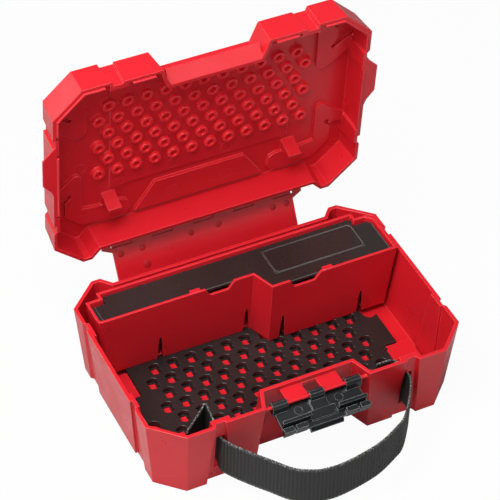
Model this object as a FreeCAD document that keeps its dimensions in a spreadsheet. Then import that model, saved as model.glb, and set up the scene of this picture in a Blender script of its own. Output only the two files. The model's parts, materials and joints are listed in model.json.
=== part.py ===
import FreeCAD, Part
import Sketcher
import math
import os

# Hole saw case: a moulded case with a two-part hinge, a rod-hung latch, a webbing
# handle, a lift-out accessory tray with its cover, and a perforated peg plate.
# X runs along the length, the latch side faces -Y, the underside lies on Z = 0.
# Every piece is drawn in the closed case and then turned to its open rest place.

document = FreeCAD.newDocument("hole_saw_case")
sheet = document.addObject("Spreadsheet::Sheet", "sizes")
sheet_row = 0


class Size:
    """A length that carries its value and the sheet expression that gives it."""

    def __init__(self, value, text):
        self.value = value
        self.text = text

    def __add__(self, other):
        other = as_size(other)
        return Size(self.value + other.value, "(" + self.text + " + " + other.text + ")")

    def __sub__(self, other):
        other = as_size(other)
        return Size(self.value - other.value, "(" + self.text + " - " + other.text + ")")

    def __radd__(self, other):
        return as_size(other) + self

    def __rsub__(self, other):
        return as_size(other) - self

    def __mul__(self, factor):
        return Size(self.value * factor, "(" + self.text + " * " + "%.6g" % factor + ")")

    def __neg__(self):
        return Size(-self.value, "(0 - " + self.text + ")")


def as_size(number):
    if isinstance(number, Size):
        return number
    return Size(float(number), "(%.6g)" % number)


def size(name, value):
    global sheet_row
    sheet_row += 1
    sheet.set("A%d" % sheet_row, name)
    sheet.set("B%d" % sheet_row, str(value))
    sheet.setAlias("B%d" % sheet_row, name)
    return Size(value, "sizes." + name)


# Case shell
half_length = size("half_length", 165.0)
rim_height = size("rim_height", 82.0)
rim_gap = size("rim_gap", 0.4)
lid_height = size("lid_height", 31.0)
wall = size("wall", 3.5)
floor = size("floor", 3.0)
base_draft = size("base_draft", 7.88)
lid_draft = size("lid_draft", 2.8)
lid_top_wall = size("lid_top_wall", 2.5)

# Outline at the rim, right half
recess_inner = size("recess_inner", 46.5)
recess_outer = size("recess_outer", 54.7)
recess_back = size("recess_back", 91.3)
front_middle = size("front_middle", 112.9)
band_depth = size("band_depth", 2.6)
front_band_in = size("front_band_in", 95.0)
front_band_out = size("front_band_out", 104.5)
band_slant = size("band_slant", 2.0)
corner_front = size("corner_front", 115.5)
front_corner_x = size("front_corner_x", 135.7)
front_corner_y = size("front_corner_y", 87.1)
side_band_in = size("side_band_in", 51.5)
side_band_out = size("side_band_out", 60.0)
rear_corner_y = size("rear_corner_y", 83.9)
rear_corner_x = size("rear_corner_x", 134.8)
tower_back = size("tower_back", 112.4)
tower_x = size("tower_x", 125.4)
tower_foot_x = size("tower_foot_x", 116.0)
rear_wall_y = size("rear_wall_y", 101.9)

# Inner tabs behind the bands
side_tab_in = size("side_tab_in", 41.8)
side_tab_out = size("side_tab_out", 60.5)
front_tab_in = size("front_tab_in", 89.0)
front_tab_out = size("front_tab_out", 108.0)
front_tab_y = size("front_tab_y", 105.0)

# Webbing handle and its slots
slot_in = size("slot_in", 94.0)
slot_out = size("slot_out", 103.0)
slot_bottom = size("slot_bottom", 15.5)
slot_top = size("slot_top", 61.5)
web_bottom = size("web_bottom", 16.0)
web_height = size("web_height", 45.0)
web_thick = size("web_thick", 2.0)

# Hinge
hinge_y = size("hinge_y", 109.9)
lower_axis_z = size("lower_axis_z", 8.4)
upper_axis_z = size("upper_axis_z", 108.7)
hinge_rod = size("hinge_rod", 2.2)
hinge_bore = size("hinge_bore", 2.6)
hinge_eye = size("hinge_eye", 4.6)
hook_width = size("hook_width", 18.5)
hook_pitch = size("hook_pitch", 44.5)
window_width = size("window_width", 23.0)
window_height = size("window_height", 16.0)
panel_front = size("panel_front", 102.4)
panel_thick = size("panel_thick", 2.4)
panel_half = size("panel_half", 99.4)
panel_ear_half = size("panel_ear_half", 110.0)
panel_ear_bottom = size("panel_ear_bottom", 88.0)
panel_end = size("panel_end", 3.4)
lip_thick = size("lip_thick", 1.8)
lip_gap = size("lip_gap", 8.5)

# Latch
latch_y = size("latch_y", 107.5)
latch_z = size("latch_z", 75.0)
latch_rod = size("latch_rod", 2.0)
latch_bore = size("latch_bore", 2.35)
latch_eye = size("latch_eye", 4.3)
latch_half = size("latch_half", 44.2)
latch_face = size("latch_face", 7.7)
latch_plate = size("latch_plate", 2.5)
latch_reach = size("latch_reach", 29.0)
bar_start = size("bar_start", 18.5)
bar_thick = size("bar_thick", 3.0)
bar_depth = size("bar_depth", 5.0)
bar_in = size("bar_in", 14.3)
bar_out = size("bar_out", 44.0)
bridge_in = size("bridge_in", 7.65)
bridge_out = size("bridge_out", 29.5)
hook_middle = size("hook_middle", 7.3)
hook_side_in = size("hook_side_in", 30.5)
hook_side_out = size("hook_side_out", 46.2)
catch_half = size("catch_half", 48.4)
catch_tip = size("catch_tip", 104.5)
catch_rise = size("catch_rise", 9.5)
catch_ledge = size("catch_ledge", 10.5)

# Peg lattice
peg_pitch = size("peg_pitch", 19.72)
peg_row = size("peg_row", 17.38)
peg_first_y = size("peg_first_y", -62.35)
boss_radius = size("boss_radius", 6.3)
boss_bore = size("boss_bore", 3.8)
boss_height = size("boss_height", 5.0)
hole_radius = size("hole_radius", 7.1)
hole_flat = size("hole_flat", 4.7)
hole_shoulder = size("hole_shoulder", 4.8)
hole_crown = size("hole_crown", 2.0)

# Floor pads
pad_height = size("pad_height", 5.0)
pad_left = size("pad_left", 150.0)
pad_right = size("pad_right", 125.5)
pad_front = size("pad_front", 15.0)
pad_back = size("pad_back", 50.0)
pad_lap = size("pad_lap", 0.5)
right_pad_in = size("right_pad_in", 121.5)
right_pad_back = size("right_pad_back", -24.0)
right_pad_front = size("right_pad_front", -72.0)

# Thumb flares and tongue of the lid
flare_out = size("flare_out", 175.5)
flare_front = size("flare_front", -51.5)
flare_face_front = size("flare_face_front", -39.5)
flare_face_back = size("flare_face_back", -7.0)
flare_step_x = size("flare_step_x", 167.5)
flare_step_y = size("flare_step_y", 3.0)
flare_back = size("flare_back", 12.0)
flare_root = size("flare_root", 150.0)
flare_edge = size("flare_edge", 1.2)
flare_rise = size("flare_rise", 9.0)
raised_half = size("raised_half", 96.0)
raised_back = size("raised_back", 49.0)
raised_front = size("raised_front", -80.0)
raised_height = size("raised_height", 1.5)
platform_end = size("platform_end", 126.0)
platform_height = size("platform_height", 3.5)
post_in = size("post_in", 90.5)
post_width = size("post_width", 14.0)
post_y = size("post_y", 54.8)
post_drop = size("post_drop", 20.0)
tongue_gap = size("tongue_gap", 0.8)
tongue_thick = size("tongue_thick", 1.4)
tongue_drop = size("tongue_drop", 1.6)
tongue_root = size("tongue_root", 3.0)

# Accessory tray
tray_top = size("tray_top", 88.0)
tray_foot = size("tray_foot", 10.3)
tray_wall = size("tray_wall", 2.6)
tray_floor = size("tray_floor", 2.5)
tray_left = size("tray_left", 153.6)
tray_right = size("tray_right", 157.8)
tray_front_left = size("tray_front_left", 49.0)
tray_front_right = size("tray_front_right", 25.6)
tray_step_left = size("tray_step_left", 11.2)
tray_step_right = size("tray_step_right", 20.1)
tray_back = size("tray_back", 89.4)
tray_notch_y = size("tray_notch_y", 81.2)
tray_lean = size("tray_lean", 7.4)
tray_front_lean = size("tray_front_lean", 4.5)
tray_corner = size("tray_corner", 4.6)
tray_notch_x = size("tray_notch_x", 139.2)
tray_chamfer = size("tray_chamfer", 5.5)
finger_left = size("finger_left", -41.5)
finger_right = size("finger_right", -8.3)
finger_depth = size("finger_depth", 9.5)
finger2_left = size("finger2_left", 39.0)
finger2_right = size("finger2_right", 74.3)
snap_left = size("snap_left", -56.0)
snap_right = size("snap_right", 76.2)
snap_width = size("snap_width", 10.5)
snap_reach = size("snap_reach", 2.6)
snap_low = size("snap_low", 3.0)

# Tray cover
cover_top = size("cover_top", 84.4)
cover_thick = size("cover_thick", 2.5)
cover_gap = size("cover_gap", 0.5)
cover_lean = size("cover_lean", 1.3)
cover_relief = size("cover_relief", 1.6)
pin_radius = size("pin_radius", 1.25)
pin_hole = size("pin_hole", 1.75)
pin_reach = size("pin_reach", 3.0)
pin_back = size("pin_back", 1.8)
frame_left = size("frame_left", 33.2)
frame_right = size("frame_right", 132.5)
frame_front = size("frame_front", 44.8)
frame_back = size("frame_back", 79.0)
frame_line = size("frame_line", 1.2)
frame_rise = size("frame_rise", 0.5)

# Peg plate
plate_top = size("plate_top", 10.0)
plate_half = size("plate_half", 136.0)
plate_front = size("plate_front", -75.0)
plate_back = size("plate_back", 57.0)
plate_gap = size("plate_gap", 0.5)
plate_cut_in = size("plate_cut_in", 122.0)
plate_cut_front = size("plate_cut_front", 17.1)
plate_cut_back = size("plate_cut_back", 28.0)
thumb_radius = size("thumb_radius", 7.0)
thumb_left_y = size("thumb_left_y", -28.0)
thumb_right_y = size("thumb_right_y", 24.5)

# Webbing handle, points of its line seen from above
strap_line = [
    (size("left_tail_x", -124.5), size("left_tail_y", -89.5)),
    (size("left_fold_x", -92.5), size("left_fold_y", -62.0)),
    (size("left_slot_x", -97.6), size("left_slot_y", -103.0)),
    (size("left_mouth_x", -99.0), size("left_mouth_y", -110.5)),
    (size("left_rise_x", -82.0), size("left_rise_y", -137.0)),
    (size("left_knee_x", -55.0), size("left_knee_y", -171.0)),
    (size("left_crown_x", -36.0), size("left_crown_y", -182.5)),
    (size("crown_x", -10.0), size("crown_y", -185.0)),
    (size("right_crown_x", 34.0), size("right_crown_y", -176.0)),
    (size("right_knee_x", 67.0), size("right_knee_y", -158.5)),
    (size("right_rise_x", 86.0), size("right_rise_y", -136.0)),
    (size("right_mouth_x", 99.0), size("right_mouth_y", -112.0)),
    (size("right_slot_x", 97.6), size("right_slot_y", -103.0)),
    (size("right_turn_x", 95.8), size("right_turn_y", -86.5)),
    (size("right_tail_x", 77.0), size("right_tail_y", -86.0)),
]

# Open rest pose, degrees
panel_open = 27.7
lid_open = 58.0
latch_open = 107.0

document.recompute()


def new_body(label):
    body = document.addObject("PartDesign::Body", label)
    body.Label = label
    return body


def origin_part(body, role):
    return [item for item in body.Origin.OriginFeatures if item.Role == role][0]


def new_sketch(body, name, plane, height):
    sketch = body.newObject("Sketcher::SketchObject", name)
    sketch.AttachmentSupport = [(origin_part(body, plane), "")]
    sketch.MapMode = "FlatFace"
    sketch.setExpression("AttachmentOffset.Base.z", as_size(height).text)
    return sketch


def tie_all(sketch, ties):
    """Adds driven distances in one step and binds each one to the sheet."""
    constraints = [Sketcher.Constraint(*(kind + (value.value,))) for kind, value in ties]
    indices = sketch.addConstraint(constraints)
    for index, (kind, value) in zip(indices, ties):
        sketch.setExpression("Constraints[%d]" % index, value.text)


def point_ties(geometry, position, x, y):
    return [
        (("DistanceX", -1, 1, geometry, position), x),
        (("DistanceY", -1, 1, geometry, position), y),
    ]


def add_loop(sketch, points):
    points = [(as_size(x), as_size(y)) for x, y in points]
    count = len(points)
    first = sketch.GeometryCount
    lines = []
    for here, there in zip(points, points[1:] + points[:1]):
        start = FreeCAD.Vector(here[0].value, here[1].value, 0)
        end = FreeCAD.Vector(there[0].value, there[1].value, 0)
        lines.append(Part.LineSegment(start, end))
    sketch.addGeometry(lines, False)
    joins = []
    ties = []
    for step in range(count):
        following = first + (step + 1) % count
        joins.append(Sketcher.Constraint("Coincident", first + step, 2, following, 1))
        ties += point_ties(first + step, 1, points[step][0], points[step][1])
    sketch.addConstraint(joins)
    tie_all(sketch, ties)


def add_circle(sketch, x, y, radius):
    x = as_size(x)
    y = as_size(y)
    centre = FreeCAD.Vector(x.value, y.value, 0)
    circle = Part.Circle(centre, FreeCAD.Vector(0, 0, 1), radius.value)
    geometry = sketch.addGeometry(circle, False)
    tie_all(sketch, point_ties(geometry, 3, x, y) + [(("Radius", geometry), radius)])


def taper_of(draft, height):
    return -math.degrees(math.atan(draft.value / height.value))


def pad(body, sketch, name, length, reverse=False, middle=False, taper=0.0):
    feature = body.newObject("PartDesign::Pad", name)
    feature.Profile = (sketch, [""])
    feature.setExpression("Length", as_size(length).text)
    feature.Reversed = reverse
    feature.Midplane = middle
    feature.TaperAngle = taper
    feature.Refine = False
    sketch.Visibility = False
    document.recompute()
    return feature


def pocket(body, sketch, name, length, reverse=False, middle=False, taper=0.0):
    before = body.Shape.Volume
    feature = body.newObject("PartDesign::Pocket", name)
    feature.Profile = (sketch, [""])
    feature.setExpression("Length", as_size(length).text)
    feature.Reversed = reverse
    feature.Midplane = middle
    feature.TaperAngle = taper
    feature.Refine = False
    sketch.Visibility = False
    document.recompute()
    if body.Shape.Volume > before - 0.01:
        raise ValueError(name + " removes nothing")
    return feature


def repeat(body, originals, name, runs):
    """Repeats features along the body's own axes: runs of (axis, spacing, count)."""
    pattern = body.newObject("PartDesign::MultiTransform", name)
    pattern.Originals = originals
    steps = []
    for number, (axis, spacing, count) in enumerate(runs):
        step = body.newObject("PartDesign::LinearPattern", "%s_run_%d" % (name, number))
        step.Direction = (origin_part(body, axis), [""])
        step.setExpression("Length", (spacing * (count - 1)).text)
        step.Occurrences = count
        steps.append(step)
    pattern.Transformations = steps
    pattern.Refine = False
    body.Tip = pattern
    document.recompute()
    return pattern


def both_sides(points):
    return points + [(-x, y) for x, y in reversed(points)]


def rectangle(x_low, y_low, x_high, y_high):
    return [(x_low, y_low), (x_high, y_low), (x_high, y_high), (x_low, y_high)]


def ribbon(points, thickness):
    """Both edges of a thin band along a line of points, with mitred corners."""
    left = []
    right = []
    count = len(points)
    for step in range(count):
        before = points[max(step - 1, 0)]
        here = points[step]
        after = points[min(step + 1, count - 1)]
        normals = []
        for start, end in ((before, here), (here, after)):
            dx = end[0].value - start[0].value
            dy = end[1].value - start[1].value
            length = math.hypot(dx, dy)
            if length > 0:
                normals.append((-dy / length, dx / length))
        sum_x = sum(normal[0] for normal in normals) / len(normals)
        sum_y = sum(normal[1] for normal in normals) / len(normals)
        square = sum_x * sum_x + sum_y * sum_y
        left.append((here[0] + thickness * (0.5 * sum_x / square),
                     here[1] + thickness * (0.5 * sum_y / square)))
        right.append((here[0] - thickness * (0.5 * sum_x / square),
                      here[1] - thickness * (0.5 * sum_y / square)))
    return left + right[::-1]


def outer_half():
    side_band = half_length - band_depth
    return [
        (recess_inner, -recess_back),
        (recess_outer, -front_middle),
        (front_band_in, -front_middle),
        (front_band_in, -(front_middle - band_depth)),
        (front_band_out, -(front_middle - band_depth)),
        (front_band_out + band_slant, -corner_front),
        (front_corner_x, -corner_front),
        (half_length, -front_corner_y),
        (half_length, -(side_band_out + band_depth)),
        (side_band, -side_band_out),
        (side_band, -side_band_in),
        (half_length, -side_band_in),
        (half_length, side_band_in),
        (side_band, side_band_in),
        (side_band, side_band_out),
        (half_length, side_band_out + band_depth),
        (half_length, rear_corner_y),
        (rear_corner_x, tower_back),
        (tower_x, tower_back),
        (tower_foot_x, rear_wall_y),
    ]


def cavity_half():
    inner_side = half_length - wall
    tab_side = half_length - band_depth - wall
    inner_front = front_middle - wall
    return [
        (recess_inner + wall * 0.69, -(recess_back - wall)),
        (recess_outer + wall * 0.69, -inner_front),
        (front_tab_in, -inner_front),
        (front_tab_in, -front_tab_y),
        (front_tab_out, -front_tab_y),
        (front_tab_out, -(corner_front - wall)),
        (front_corner_x - wall * 0.414, -(corner_front - wall)),
        (inner_side, -(front_corner_y - wall * 0.414)),
        (inner_side, -side_tab_out),
        (tab_side, -side_tab_out),
        (tab_side, -side_tab_in),
        (inner_side, -side_tab_in),
        (inner_side, side_tab_in),
        (tab_side, side_tab_in),
        (tab_side, side_tab_out),
        (inner_side, side_tab_out),
        (inner_side, rear_corner_y - wall * 0.4),
        (rear_corner_x - wall * 0.4, tower_back - wall),
        (tower_x + wall * 0.447, tower_back - wall),
        (tower_foot_x + wall * 0.447, rear_wall_y - wall),
    ]


def hinge_eye_loop(root_y, axis_z):
    """Side view of a hinge arm: a bar from the wall to an eight-sided eye."""
    flat = hinge_eye * 0.414
    return [
        (root_y, axis_z - hinge_eye * 0.75),
        (hinge_y - flat, axis_z - hinge_eye),
        (hinge_y + flat, axis_z - hinge_eye),
        (hinge_y + hinge_eye, axis_z - flat),
        (hinge_y + hinge_eye, axis_z + flat),
        (hinge_y + flat, axis_z + hinge_eye),
        (hinge_y - flat, axis_z + hinge_eye),
        (root_y, axis_z + hinge_eye * 0.75),
    ]


def add_hinge_arms(body, name, root_y, axis_z):
    start = -(hook_pitch * 2 + hook_width * 0.5)
    sketch = new_sketch(body, name + "_side", "YZ_Plane", start)
    add_loop(sketch, hinge_eye_loop(root_y, axis_z))
    add_circle(sketch, hinge_y, axis_z, hinge_bore)
    arm = pad(body, sketch, name, hook_width)
    repeat(body, [arm], name + "_row", [("X_Axis", hook_pitch, 5)])


# Base shell: drafted box with the latch recess, rear corner towers, grooved bands,
# strap slots, floor pads, the latch rod with its two bridge blocks, and hinge arms.
base = new_body("base_shell")
taper = taper_of(base_draft, rim_height)
sketch = new_sketch(base, "base_outline", "XY_Plane", rim_height)
add_loop(sketch, both_sides(outer_half()))
pad(base, sketch, "base_block", rim_height, reverse=True, taper=taper)
sketch = new_sketch(base, "base_cavity_outline", "XY_Plane", rim_height)
add_loop(sketch, both_sides(cavity_half()))
pocket(base, sketch, "base_cavity", rim_height - floor, taper=taper)

sketch = new_sketch(base, "strap_slot_outline", "XZ_Plane", front_middle + 6)
add_loop(sketch, rectangle(slot_in, slot_bottom, slot_out, slot_top))
add_loop(sketch, rectangle(-slot_out, slot_bottom, -slot_in, slot_top))
pocket(base, sketch, "strap_slots", 26)

sketch = new_sketch(base, "floor_pad_outline", "XY_Plane", floor - pad_lap)
add_loop(sketch, rectangle(-pad_left, pad_front, -pad_right, pad_back))
add_loop(sketch, rectangle(right_pad_in, right_pad_front, pad_left, right_pad_back))
pad(base, sketch, "floor_pads", pad_height + pad_lap)

sketch = new_sketch(base, "bridge_side", "YZ_Plane", 0)
bridge_back = -(recess_back - wall * 0.5)
add_loop(sketch, [
    (bridge_back, latch_z - 2.8),
    (-(latch_y - 1.5), latch_z - 2.8),
    (-(latch_y + 0.6), latch_z - 1.2),
    (-(latch_y + 0.6), latch_z + 0.4),
    (-(latch_y - 0.8), latch_z + 1.2),
    (bridge_back, latch_z + 1.2),
])
bridge = pad(base, sketch, "bridge_blank", bridge_out * 2, middle=True)
sketch = new_sketch(base, "bridge_gap_outline", "XY_Plane", latch_z + 4)
add_loop(sketch, rectangle(-bridge_in, -(latch_y + 4), bridge_in, -(recess_back + 0.2)))
pocket(base, sketch, "bridge_gap", 10)
sketch = new_sketch(base, "latch_rod_side", "YZ_Plane", 0)
add_circle(sketch, -latch_y, latch_z, latch_rod)
pad(base, sketch, "latch_rod_bar", (recess_outer - 0.5) * 2, middle=True)
add_hinge_arms(base, "base_arm", rear_wall_y - base_draft - 0.5, lower_axis_z)

# Lid shell, drawn closed: drafted shell, thumb flares, tongue, peg bosses on a raised
# panel, catch nose in the front recess, and hinge arms on the rear wall.
lid = new_body("lid_shell")
lid_rim = rim_height + rim_gap
lid_taper = taper_of(lid_draft, lid_height)
sketch = new_sketch(lid, "lid_outline", "XY_Plane", lid_rim)
add_loop(sketch, both_sides(outer_half()))
pad(lid, sketch, "lid_block", lid_height, taper=lid_taper)

flare = [
    (flare_root, flare_front - 12),
    (half_length - 1, flare_front),
    (flare_out, flare_face_front),
    (flare_out, flare_face_back),
    (flare_step_x, flare_step_y),
    (half_length - 1, flare_back),
    (flare_root, flare_back + 12),
]
mirrored_flare = [(-x, y) for x, y in reversed(flare)]
sketch = new_sketch(lid, "flare_edge_outline", "XY_Plane", lid_rim)
add_loop(sketch, flare)
add_loop(sketch, mirrored_flare)
pad(lid, sketch, "flare_edges", flare_edge)
sketch = new_sketch(lid, "flare_outline", "XY_Plane", lid_rim + flare_edge)
add_loop(sketch, flare)
add_loop(sketch, mirrored_flare)
pad(lid, sketch, "flare_slopes", flare_rise, taper=-45.0)

sketch = new_sketch(lid, "lid_cavity_outline", "XY_Plane", lid_rim)
add_loop(sketch, both_sides(cavity_half()))
pocket(lid, sketch, "lid_cavity", lid_height - lid_top_wall, reverse=True, taper=lid_taper)

lid_inner = lid_rim + lid_height - lid_top_wall
sketch = new_sketch(lid, "raised_panel_outline", "XY_Plane", lid_inner + 0.5)
add_loop(sketch, rectangle(-raised_half, raised_front, raised_half, raised_back))
pad(lid, sketch, "raised_panel", raised_height + 0.5, reverse=True)

# Raised corner platforms, a stiffening platform by the hinge and two hold-down posts.
sketch = new_sketch(lid, "platform_outline", "XY_Plane", lid_inner + 0.5)
rear_platform = [
    (platform_end, 66),
    (platform_end, 24),
    (129, 19),
    (134.5, 19),
    (148, 30.5),
    (flare_root + 9.5, 39),
    (flare_root + 9.5, 50),
    (148, 46),
    (142, 48),
    (141.5, 42.5),
    (137.5, 42),
    (137.5, 47),
    (143.4, 52),
    (143.5, 70),
    (127, 87),
    (101, 90.5),
    (80, 90.5),
    (74.5, 82),
    (77, 71.5),
    (84, 68),
    (110, 68),
]
front_platform = [
    (120.5, -80),
    (121.5, -36),
    (124.5, -31),
    (129, -29.5),
    (134.5, -31.5),
    (149, -43),
    (flare_root + 9.5, -50),
    (flare_root + 9.5, -66),
    (151, -62),
    (138, -53.5),
    (136, -57),
    (143, -64),
    (143, -77),
    (134, -86),
    (122.5, -86),
]
for loop in (rear_platform, front_platform):
    add_loop(sketch, loop)
    add_loop(sketch, [(-as_size(x), as_size(y)) for x, y in reversed(loop)])
add_loop(sketch, [(-48.5, 57.5), (48.5, 57.5), (70, 90), (-70, 90)])
pad(lid, sketch, "platforms", platform_height + 0.5, reverse=True)
for side, name in ((1, "right"), (-1, "left")):
    low = post_in if side == 1 else -(post_in + post_width)
    sketch = new_sketch(lid, "post_side_" + name, "YZ_Plane", low)
    add_loop(sketch, [
        (post_y, lid_inner + 0.5),
        (post_y + 6, lid_inner - post_drop),
        (post_y + 9, lid_inner - post_drop),
        (post_y + 16, lid_inner + 0.5),
    ])
    pad(lid, sketch, "post_" + name, post_width)

sketch = new_sketch(lid, "catch_side", "YZ_Plane", 0)
add_loop(sketch, [
    (-(recess_back - 1.5), lid_rim),
    (-(recess_back + 0.4), lid_rim),
    (-catch_tip, lid_rim + catch_rise),
    (-catch_tip, lid_rim + catch_ledge),
    (-(recess_back - 1.5), lid_rim + catch_ledge),
])
pad(lid, sketch, "catch_nose", catch_half * 2, middle=True)


def tongue_loops(outer_gap):
    """Lip segments along the sides, round the front corners and by the recess."""
    side_out = half_length - wall - outer_gap
    side_in = half_length - wall - tongue_gap - tongue_thick
    front_out = corner_front - wall - outer_gap
    front_in = corner_front - wall - tongue_gap - tongue_thick
    low_out = front_middle - wall - outer_gap
    low_in = front_middle - wall - tongue_gap - tongue_thick
    corner = [
        (113, -front_out),
        (front_corner_x - (wall + outer_gap) * 0.414, -front_out),
        (side_out, -(front_corner_y - (wall + outer_gap) * 0.414)),
        (side_out, -66),
        (side_in, -66),
        (side_in, -(front_corner_y - (wall + tongue_gap + tongue_thick) * 0.414)),
        (front_corner_x - (wall + tongue_gap + tongue_thick) * 0.414, -front_in),
        (113, -front_in),
    ]
    side = rectangle(side_in, -39, side_out, 38)
    front = rectangle(62, -low_out, 85, -low_in)
    loops = [corner, side, front]
    return loops + [[(-as_size(x), as_size(y)) for x, y in reversed(loop)] for loop in loops]


sketch = new_sketch(lid, "tongue_root_outline", "XY_Plane", lid_rim)
for loop in tongue_loops(as_size(-0.6)):
    add_loop(sketch, loop)
pad(lid, sketch, "tongue_roots", tongue_root)
sketch = new_sketch(lid, "tongue_outline", "XY_Plane", lid_rim + 0.5)
for loop in tongue_loops(tongue_gap):
    add_loop(sketch, loop)
pad(lid, sketch, "tongues", tongue_drop + 0.5, reverse=True)
add_hinge_arms(lid, "lid_arm", rear_wall_y - lid_draft - 1, upper_axis_z)


def even_sided(x, y, radius, sides):
    """Corners of a regular outline round a centre, a flat facing each way."""
    corners = []
    for turn in range(sides):
        angle = math.radians(360.0 * (turn + 0.5) / sides)
        corners.append((x + radius * math.cos(angle), y + radius * math.sin(angle)))
    return corners


def add_boss(name, x, y):
    sketch = new_sketch(lid, name + "_outline", "XY_Plane", lid_inner + 0.5)
    add_loop(sketch, even_sided(x, y, boss_radius, 10))
    add_loop(sketch, even_sided(x, y, boss_bore, 6))
    return pad(lid, sketch, name, boss_height + 0.5, reverse=True)


boss = add_boss("boss_even", -(peg_pitch * 5), peg_first_y)
repeat(lid, [boss], "boss_even_rows",
       [("X_Axis", peg_pitch, 11), ("Y_Axis", peg_row * 2, 3)])
boss = add_boss("boss_odd", -(peg_pitch * 5.5), peg_first_y + peg_row)
repeat(lid, [boss], "boss_odd_rows",
       [("X_Axis", peg_pitch, 12), ("Y_Axis", peg_row * 2, 3)])

# Hinge panel: a flat wall with open windows at both ends, where the arms of the
# base and of the lid reach through to a rod that runs the full width.
panel = new_body("hinge_panel")
sketch = new_sketch(panel, "panel_outline", "XZ_Plane", -(panel_front + panel_thick))
top = upper_axis_z + panel_end
bottom = lower_axis_z - panel_end
add_loop(sketch, [
    (-panel_half, bottom),
    (panel_half, bottom),
    (panel_half, panel_ear_bottom),
    (panel_ear_half, panel_ear_bottom + 5),
    (panel_ear_half, top),
    (-panel_ear_half, top),
    (-panel_ear_half, panel_ear_bottom + 5),
    (-panel_half, panel_ear_bottom),
])
pad(panel, sketch, "panel_plate", panel_thick)
sketch = new_sketch(panel, "panel_rail_side", "YZ_Plane", 0)
for axis_z in (lower_axis_z, upper_axis_z):
    add_loop(sketch, rectangle(panel_front + 1, axis_z - panel_end,
                               hinge_y + hinge_rod * 0.7, axis_z + panel_end))
pad(panel, sketch, "panel_rails", panel_half * 2, middle=True)
start = -(hook_pitch * 2 + window_width * 0.5)
sketch = new_sketch(panel, "panel_window_side", "YZ_Plane", start)
add_loop(sketch, rectangle(panel_front - 2, upper_axis_z - window_height,
                           hinge_y + 8, top + 2))
add_loop(sketch, rectangle(panel_front - 2, bottom - 2,
                           hinge_y + 8, lower_axis_z + window_height))
window = pocket(panel, sketch, "panel_window", window_width, reverse=True)
repeat(panel, [window], "panel_windows", [("X_Axis", hook_pitch, 5)])
sketch = new_sketch(panel, "panel_lip_side", "YZ_Plane", 0)
add_loop(sketch, rectangle(panel_front + panel_thick - 0.4, upper_axis_z - window_height - 3,
                           panel_front + panel_thick + lip_thick, upper_axis_z - lip_gap))
pad(panel, sketch, "panel_lip", (panel_half - 0.5) * 2, middle=True)
sketch = new_sketch(panel, "panel_rod_side", "YZ_Plane", 0)
add_circle(sketch, hinge_y, upper_axis_z, hinge_rod)
add_circle(sketch, hinge_y, lower_axis_z, hinge_rod)
pad(panel, sketch, "panel_rods", (panel_half - 0.5) * 2, middle=True)

# Latch, drawn closed: three eyes on the rod, a flat plate, two hooking bars that
# catch over the lid nose, end blocks and a finger grip.
latch = new_body("latch")


def latch_point(outward, inward):
    return (inward - latch_y, outward + latch_z)


sketch = new_sketch(latch, "latch_plate_side", "YZ_Plane", 0)
add_loop(sketch, [
    latch_point(as_size(-1), -latch_face),
    latch_point(latch_reach, -latch_face),
    latch_point(latch_reach, -(latch_face - latch_plate)),
    latch_point(as_size(-1), -(latch_face - latch_plate)),
])
pad(latch, sketch, "latch_plate_body", latch_half * 2, middle=True)


def latch_block(name, low, high, outline):
    """A solid of one side outline between two distances across the latch."""
    sketch = new_sketch(latch, name + "_side", "YZ_Plane", low)
    add_loop(sketch, [latch_point(as_size(u), as_size(w)) for u, w in outline])
    return pad(latch, sketch, name, as_size(high) - low)


def latch_pair(name, low, high, outline):
    latch_block(name + "_right", low, high, outline)
    latch_block(name + "_left", -as_size(high), -as_size(low), outline)


eye_flat = latch_eye * 0.414
eye_outline = [
    (-latch_eye, -latch_face),
    (-latch_eye, eye_flat),
    (-eye_flat, latch_eye),
    (eye_flat, latch_eye),
    (latch_eye, eye_flat),
    (latch_eye + 1.5, -(latch_face - latch_plate)),
    (latch_eye + 1.5, -latch_face),
]
latch_block("latch_eye_middle", -hook_middle, hook_middle, eye_outline)
latch_pair("latch_eye_side", hook_side_in, hook_side_out, eye_outline)
sketch = new_sketch(latch, "latch_bore_side", "YZ_Plane", 0)
add_circle(sketch, -latch_y, latch_z, latch_bore)
pocket(latch, sketch, "latch_bore_hole", half_length, middle=True)
bar_outline = [
    (bar_start, -(latch_face - latch_plate) - 0.5),
    (bar_start, bar_depth),
    (bar_start + bar_thick, bar_depth - 1),
    (bar_start + bar_thick, -(latch_face - latch_plate) - 0.5),
]
latch_pair("latch_bar", bar_in, bar_out, bar_outline)
plate_inner = -(latch_face - latch_plate) - 0.5
latch_block("latch_band_low", -8.6, 8.6,
            [(3, plate_inner), (3, -3.0), (15, -3.4), (15, plate_inner)])
latch_block("latch_band_high", -13.6, 13.6,
            [(13.5, plate_inner), (14.5, -3.3), (23.5, -4.0), (24.5, plate_inner)])
end_outline = [(24.0, -9.4), (28.8, -9.4), (28.8, 0.2), (24.0, 0.2)]
latch_pair("latch_end_outer", 35, 45, end_outline)
latch_pair("latch_end_inner", 20.5, 32, end_outline)
latch_block("latch_grip", -17.2, 17.2,
            [(22, -7), (25.5, -10.5), (31.2, -13.1), (31.4, -10.8), (28.5, -7), (28.5, -5.4)])

# Accessory tray: open box with a stepped front wall, finger notches, snap tabs,
# drain slits and corner pockets for the cover ears. It stands on the peg plate.
tray = new_body("accessory_tray")


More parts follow.
